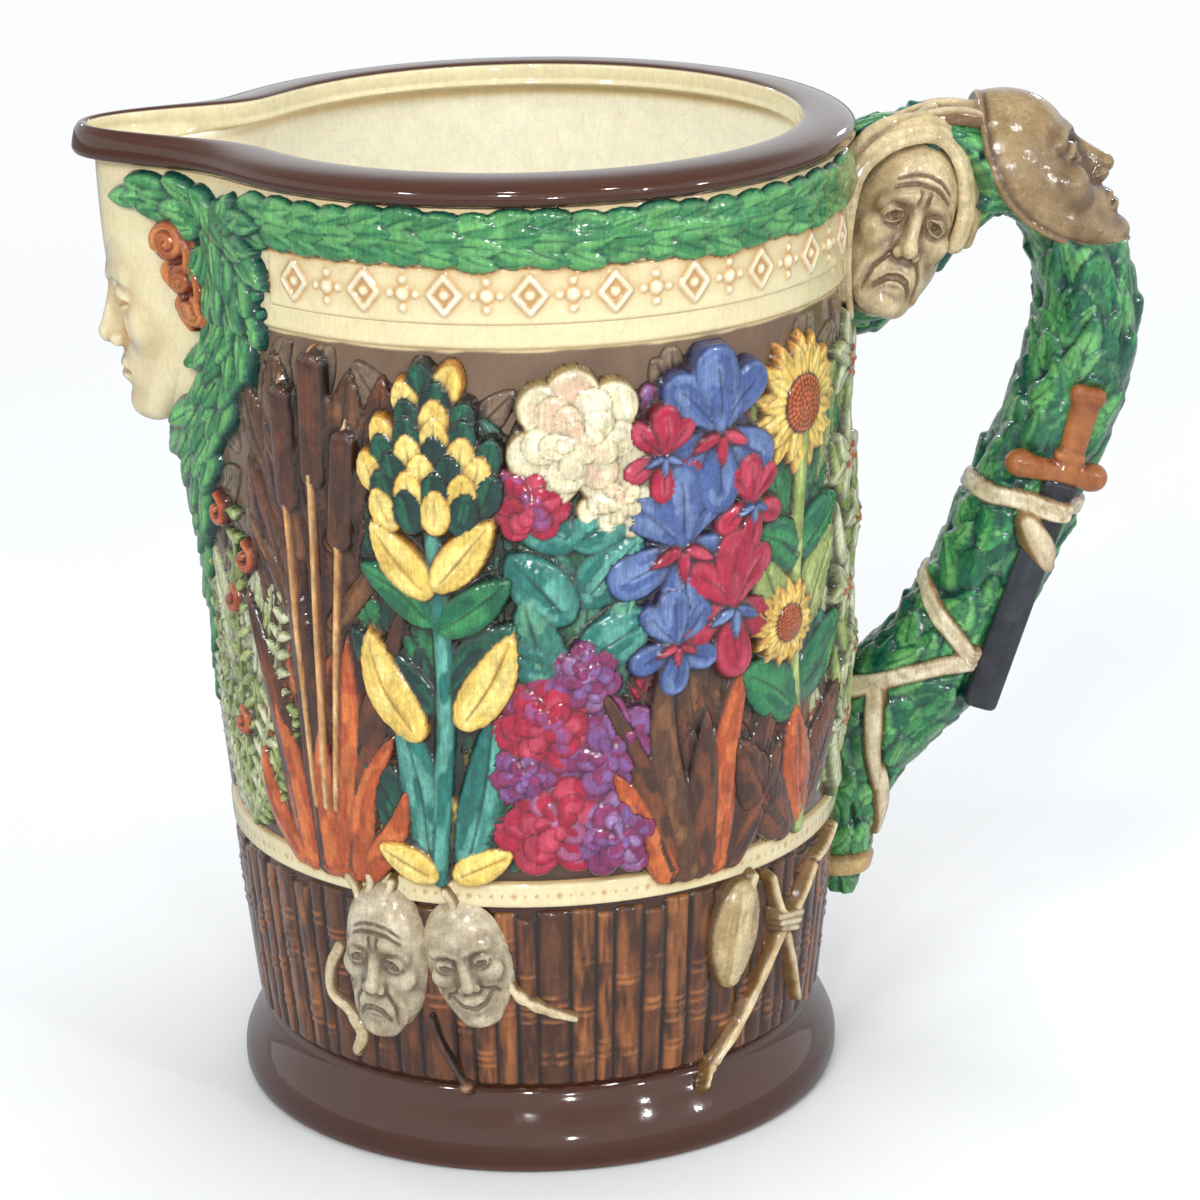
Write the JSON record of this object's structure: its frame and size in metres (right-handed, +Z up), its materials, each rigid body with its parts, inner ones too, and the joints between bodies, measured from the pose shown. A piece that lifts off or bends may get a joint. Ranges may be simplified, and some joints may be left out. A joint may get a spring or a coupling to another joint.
{
  "type": "loving jug",
  "caption": "Tall glazed earthenware jug with a pouring spout over a mask, one leafy handle, a laurel garland and a relief band round the body.",
  "frame": {"origin": "on the ground, under the middle of the whole jug's length and width, spout and handle included", "axes": "+Z up, the spout towards -X, the handle towards +X, the front with the theatre masks towards -Y"},
  "size_m": [0.2898, 0.1822, 0.2748],
  "materials": {
    "brown_glaze": "thick glossy chocolate-brown glaze",
    "cream_glaze": "glossy crazed cream glaze with a tan wash in the hollows",
    "leaf_glaze": "glossy bright green over dark teal",
    "biscuit_glaze": "glossy grey-beige with a brown wash",
    "book_glaze": "glossy tan-orange spines on dark brown",
    "rust_glaze": "glossy rust orange",
    "slate_glaze": "glossy near-black slate",
    "tan_glaze": "glossy tan ribbon glaze with a brown wash",
    "bulrush_glaze": "glossy dark brown with rust lights",
    "sunflower_glaze": "glossy straw yellow",
    "rose_glaze": "glossy crimson with violet-blue strokes",
    "iris_glaze": "glossy slate blue with crimson strokes",
    "artichoke_glaze": "glossy teal with yellow-green strokes",
    "lily_glaze": "glossy pale grey-green"
  },
  "bodies": {
    "root": {"body_shell": "cream_glaze", "rim_roll": "brown_glaze", "foot_ring": "brown_glaze", "spout_mask": "cream_glaze", "mask_curls_front": "rust_glaze", "wreath_front": "leaf_glaze", "mask_curls_back": "rust_glaze", "wreath_back": "leaf_glaze", "laurel_garland_front": "leaf_glaze", "neck_band_front": "cream_glaze", "laurel_garland_back": "leaf_glaze", "neck_band_back": "cream_glaze", "ribbon_band": "cream_glaze", "frieze_fern_front_1": "leaf_glaze", "frieze_bulrush_front_2": "bulrush_glaze", "frieze_artichoke_front_3": "artichoke_glaze", "frieze_rose_front_4": "rose_glaze", "frieze_iris_front_5": "iris_glaze", "frieze_sunflower_front_6": "sunflower_glaze", "frieze_lily_front_7": "lily_glaze", "frieze_rose_back_8": "rose_glaze", "frieze_bulrush_back_9": "bulrush_glaze", "frieze_sunflower_back_10": "sunflower_glaze", "frieze_iris_back_11": "iris_glaze", "frieze_artichoke_back_12": "artichoke_glaze", "frieze_lily_back_13": "lily_glaze", "frieze_fern_back_14": "leaf_glaze", "frieze_fern_behind_handle": "leaf_glaze", "tragedy_mask": "biscuit_glaze", "comedy_mask": "biscuit_glaze", "mask_ribbon_left": "biscuit_glaze", "mask_ribbon_right": "biscuit_glaze", "mask_cord": "book_glaze", "bladder": "biscuit_glaze", "long_stick": "tan_glaze", "short_stick": "tan_glaze", "stick_knot": "tan_glaze", "twisted_cord": "tan_glaze", "book_course": "book_glaze", "handle_hooded_mask": "biscuit_glaze", "handle_top_mask": "biscuit_glaze", "dagger_hilt": "rust_glaze", "dagger_sheath": "slate_glaze", "handle_ribbon_upper": "tan_glaze", "handle_ribbon_middle": "tan_glaze", "handle_ribbon_lower": "tan_glaze", "handle_tail_collar": "tan_glaze", "handle_core": "leaf_glaze"}
  },
  "joints": []
}
